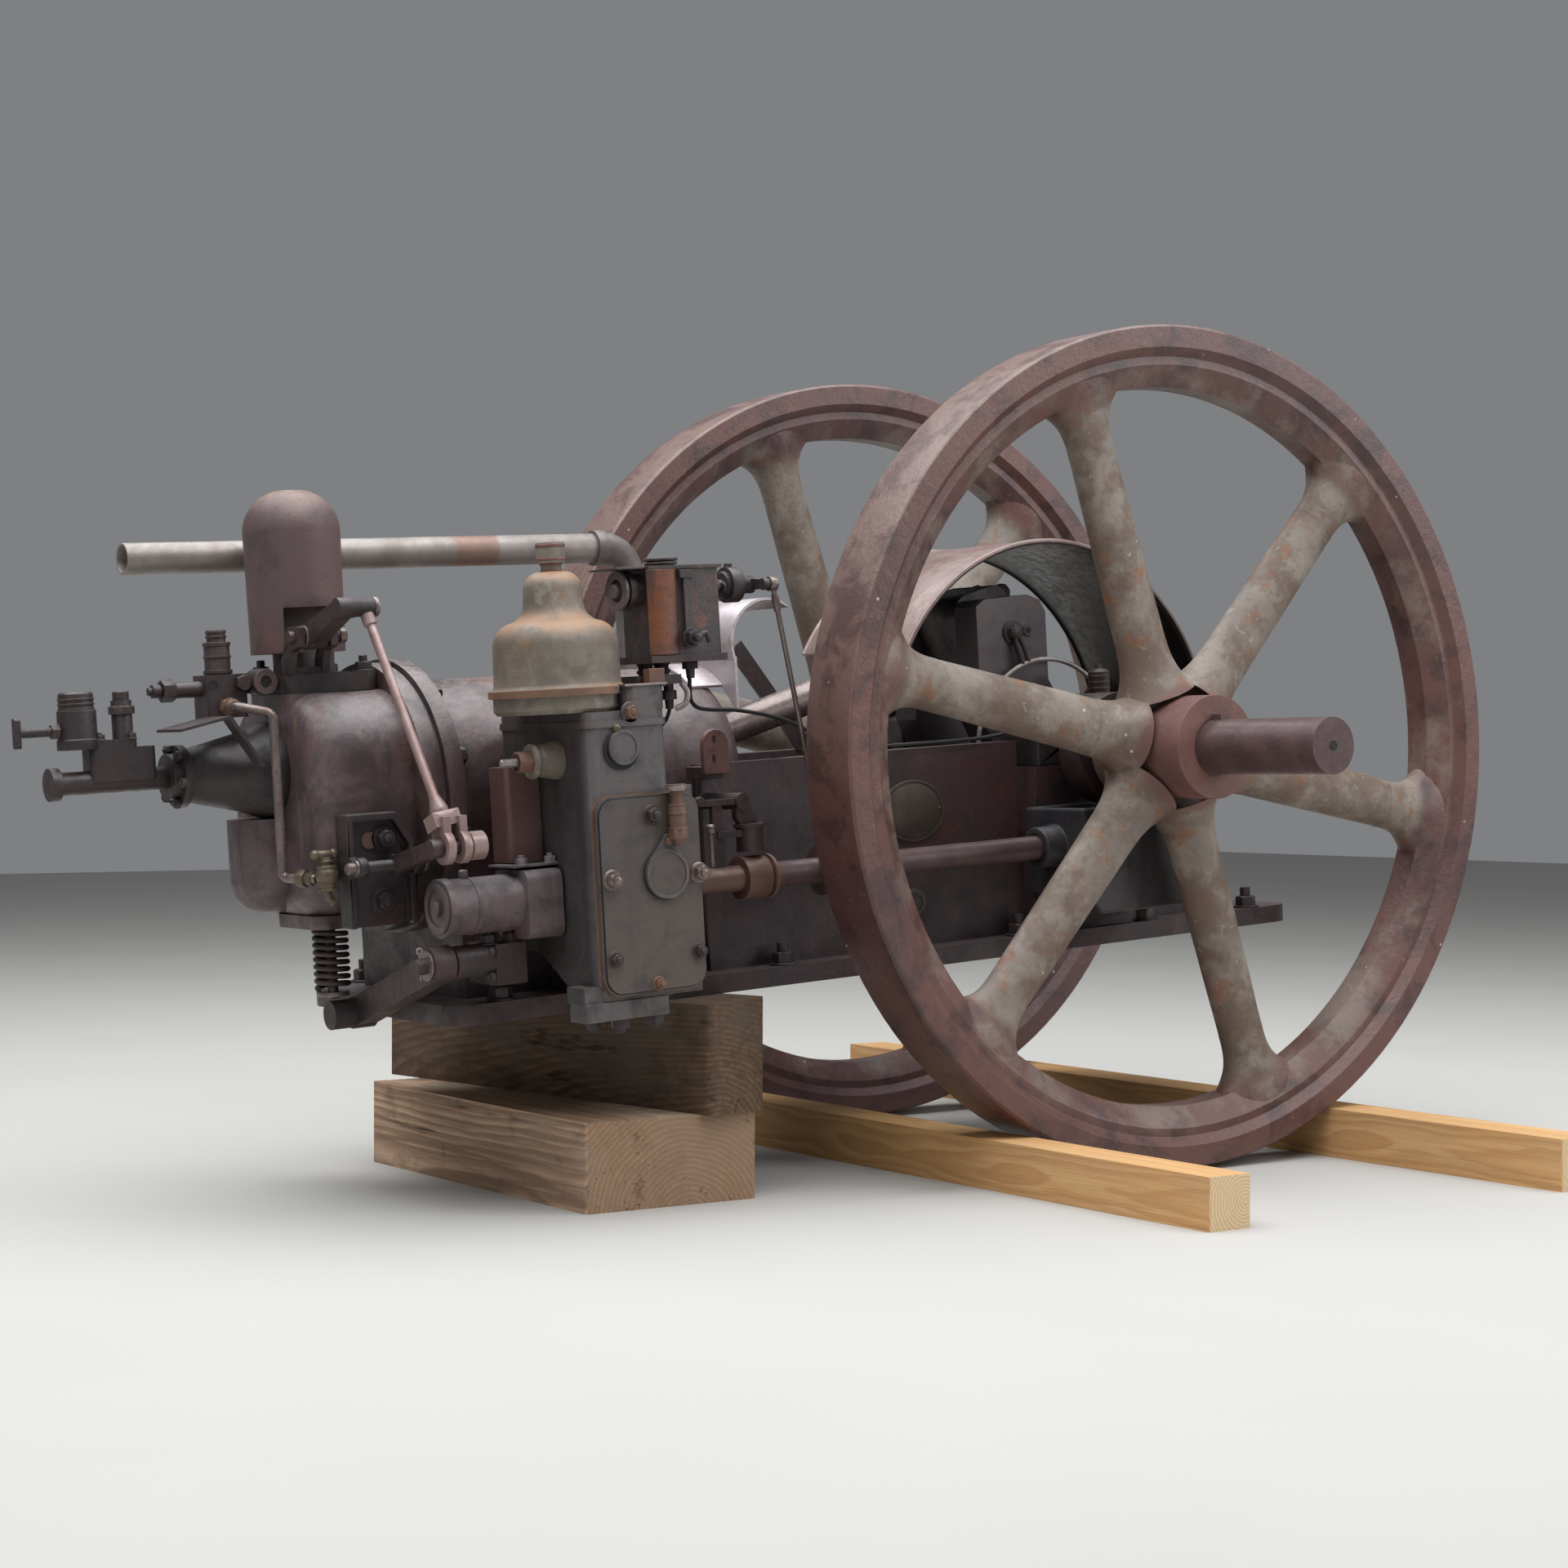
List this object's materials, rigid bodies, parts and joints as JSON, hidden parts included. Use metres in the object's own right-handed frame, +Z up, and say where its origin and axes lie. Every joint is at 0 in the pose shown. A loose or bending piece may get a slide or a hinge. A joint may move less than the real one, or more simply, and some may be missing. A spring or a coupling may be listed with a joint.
{
  "type": "stationary oil engine",
  "caption": "Old horizontal single-cylinder oil engine with two six-spoke flywheels and a side shaft, rusty and oily, stood on worn timber baulks with new chocks at its wheels",
  "frame": {"origin": "centre of the footprint of the whole assembly, on the floor", "axes": "+X along the engine from the cylinder end to the flywheels, +Y away from the side shaft, parallel to the crankshaft, +Z up"},
  "size_m": [2.476, 1.89, 1.378],
  "materials": {
    "engine_iron": "oily, rusted",
    "wheel_iron": "rusted",
    "machined_steel": "dull, rust film",
    "housing_paint": "worn, rust at the edges",
    "sheet_steel": "matt",
    "pipe_zinc": "weathered",
    "brass": "dull",
    "old_timber": "weathered",
    "new_timber": "sawn"
  },
  "bodies": {
    "engine": {"air_silencer": "sheet_steel", "bed": "engine_iron", "chock_front": "new_timber", "chock_rear": "new_timber", "connecting_rod": "machined_steel", "crank_hood": "sheet_steel", "cylinder_head": "engine_iron", "cylinder_jacket": "engine_iron", "drain_cock": "brass", "drip_shield": "sheet_steel", "exhaust_lever": "engine_iron", "exhaust_lever_bracket": "engine_iron", "exhaust_valve_spring": "machined_steel", "exhaust_valve_stem": "machined_steel", "fuel_pipe": "machined_steel", "fuel_strainer": "engine_iron", "fuel_valve": "engine_iron", "gear_case": "engine_iron", "governor_bell": "housing_paint", "governor_cover": "housing_paint", "governor_housing": "housing_paint", "head_flange": "engine_iron", "head_top_plate": "engine_iron", "lever_bracket": "engine_iron", "lubricator_box": "sheet_steel", "lubricator_bracket": "engine_iron", "lubricator_lid": "sheet_steel", "lubricator_shaft": "machined_steel", "main_bearing_far": "engine_iron", "main_bearing_near": "engine_iron", "oil_cup": "brass", "piston": "machined_steel", "rocker_post": "engine_iron", "rod_guard": "sheet_steel", "side_shaft_bearing": "engine_iron", "sleeper_lower": "old_timber", "sleeper_upper": "old_timber", "slotted_plate": "engine_iron", "trip_gear": "engine_iron", "valve_block": "engine_iron", "vaporiser": "engine_iron", "water_elbow": "pipe_zinc", "water_pipe": "pipe_zinc"},
    "crank_group": {"crankshaft": "machined_steel", "crank_gear": "machined_steel", "rod_big_end": "machined_steel", "flywheel_near": "wheel_iron", "flywheel_far": "wheel_iron"},
    "side_shaft_group": {"side_shaft": "machined_steel"},
    "inlet_lever_group": {"inlet_lever": "machined_steel"},
    "push_rod_group": {"push_rod": "machined_steel"},
    "rocker_group": {"inlet_rocker": "machined_steel"},
    "lubricator_lever_group": {"lubricator_lever": "machined_steel"},
    "lubricator_rod_group": {"lubricator_rod": "machined_steel"}
  },
  "joints": [
    {"name": "crank_spin", "type": "hinge", "parent": "engine", "child": "crank_group", "pos_m": [0.55188, 0.045, 0.692], "axis": [0, 1, 0], "continuous": true},
    {"name": "side_shaft_spin", "type": "hinge", "parent": "engine", "child": "side_shaft_group", "pos_m": [-0.03653, -0.255, 0.49758], "axis": [0.9978, 0, 0.0663], "continuous": true},
    {"name": "inlet_lever_tilt", "type": "hinge", "parent": "engine", "child": "inlet_lever_group", "pos_m": [-0.75912, -0.173, 0.51272], "axis": [0.9978, 0, 0.0663], "range_deg": [-5, 0]},
    {"name": "push_rod_lift", "type": "slide", "parent": "engine", "child": "push_rod_group", "axis": [-0.062, 0.3529, 0.9336], "range_m": [0, 0.01075]},
    {"name": "inlet_rocker_tilt", "type": "hinge", "parent": "engine", "child": "rocker_group", "pos_m": [-0.81851, -0.051, 0.84852], "axis": [0.9978, 0, 0.0663], "range_deg": [-5.3, 0]},
    {"name": "lubricator_lever_swing", "type": "hinge", "parent": "engine", "child": "lubricator_lever_group", "pos_m": [-0.20897, -0.294, 0.93611], "axis": [0.9978, 0, 0.0663], "range_deg": [-8, 0]},
    {"name": "lubricator_rod_lift", "type": "slide", "parent": "engine", "child": "lubricator_rod_group", "axis": [-0.0663, 0, 0.9978], "range_m": [0, 0.006]}
  ],
  "couplings": [
    {"joint": "side_shaft_spin", "follows": "crank_spin", "ratio": -0.5},
    {"joint": "push_rod_lift", "follows": "inlet_lever_tilt", "m_per_rad": -0.12278},
    {"joint": "inlet_rocker_tilt", "follows": "inlet_lever_tilt", "ratio": 1.058},
    {"joint": "lubricator_rod_lift", "follows": "lubricator_lever_swing", "m_per_rad": -0.042}
  ]
}
